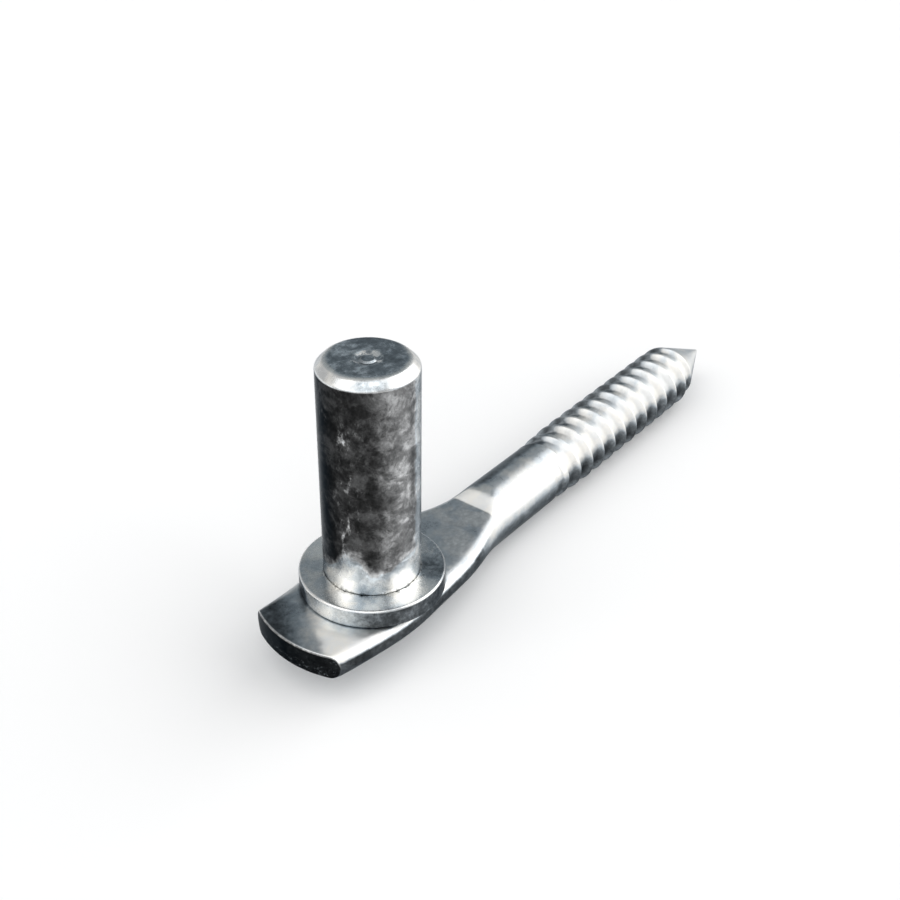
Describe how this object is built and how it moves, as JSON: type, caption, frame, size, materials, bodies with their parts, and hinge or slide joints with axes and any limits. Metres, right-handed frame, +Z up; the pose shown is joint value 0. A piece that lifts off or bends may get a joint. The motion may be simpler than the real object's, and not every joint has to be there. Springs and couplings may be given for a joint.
{
  "type": "gate hinge pin",
  "caption": "Screw-in gate pintle: a round bar with a coarse wood thread and a point, flattened into an eye that carries an upright pin with a collar ring at its foot.",
  "frame": {"origin": "on the pin's axis, at the collar ring's top face, where the gate's hinge eye rests", "axes": "+Z up along the pin towards its chamfered top, +X along the screw towards its point, +Y across the bar"},
  "size_m": [0.1324, 0.024, 0.0525],
  "materials": {
    "plated_arm": "bright zinc plating over forged and thread-rolled steel, lightly mottled",
    "plated_ring": "bright zinc plating over turned steel",
    "plated_pin": "bright zinc plating over turned steel, scuffed and mottled"
  },
  "bodies": {
    "root": {"threaded_arm": "plated_arm", "collar_ring": "plated_ring", "hinge_pin": "plated_pin"}
  },
  "joints": []
}
